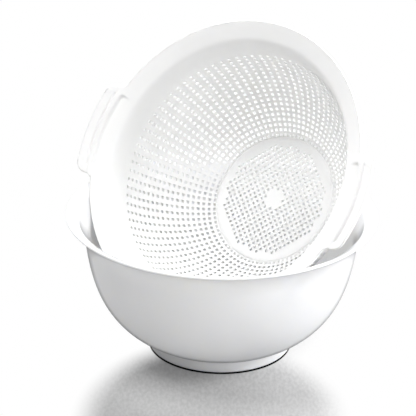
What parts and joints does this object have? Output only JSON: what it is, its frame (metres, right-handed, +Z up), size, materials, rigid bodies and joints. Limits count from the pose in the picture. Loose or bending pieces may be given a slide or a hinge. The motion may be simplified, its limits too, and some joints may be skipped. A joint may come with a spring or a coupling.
{
  "type": "colander",
  "caption": "White plastic colander with perforated base and wall and side handles, leaning in its matching footed bowl with a flared lip; the colander lifts out.",
  "frame": {"origin": "centre of the bowl's foot, on the ground", "axes": "+Z up along the bowl's axis, +X to the right in the picture, +Y away from the camera"},
  "size_m": [0.2466, 0.2466, 0.2527],
  "materials": {
    "bowl_plastic": "smooth satin gloss, cool white",
    "colander_plastic": "smooth satin gloss, white"
  },
  "bodies": {
    "bowl": {"bowl": "bowl_plastic"},
    "colander": {"colander": "colander_plastic"}
  },
  "joints": [
    {"name": "colander_lift", "type": "slide", "parent": "bowl", "child": "colander", "axis": [0, 0, 1], "range_m": [0, 0.09]}
  ]
}
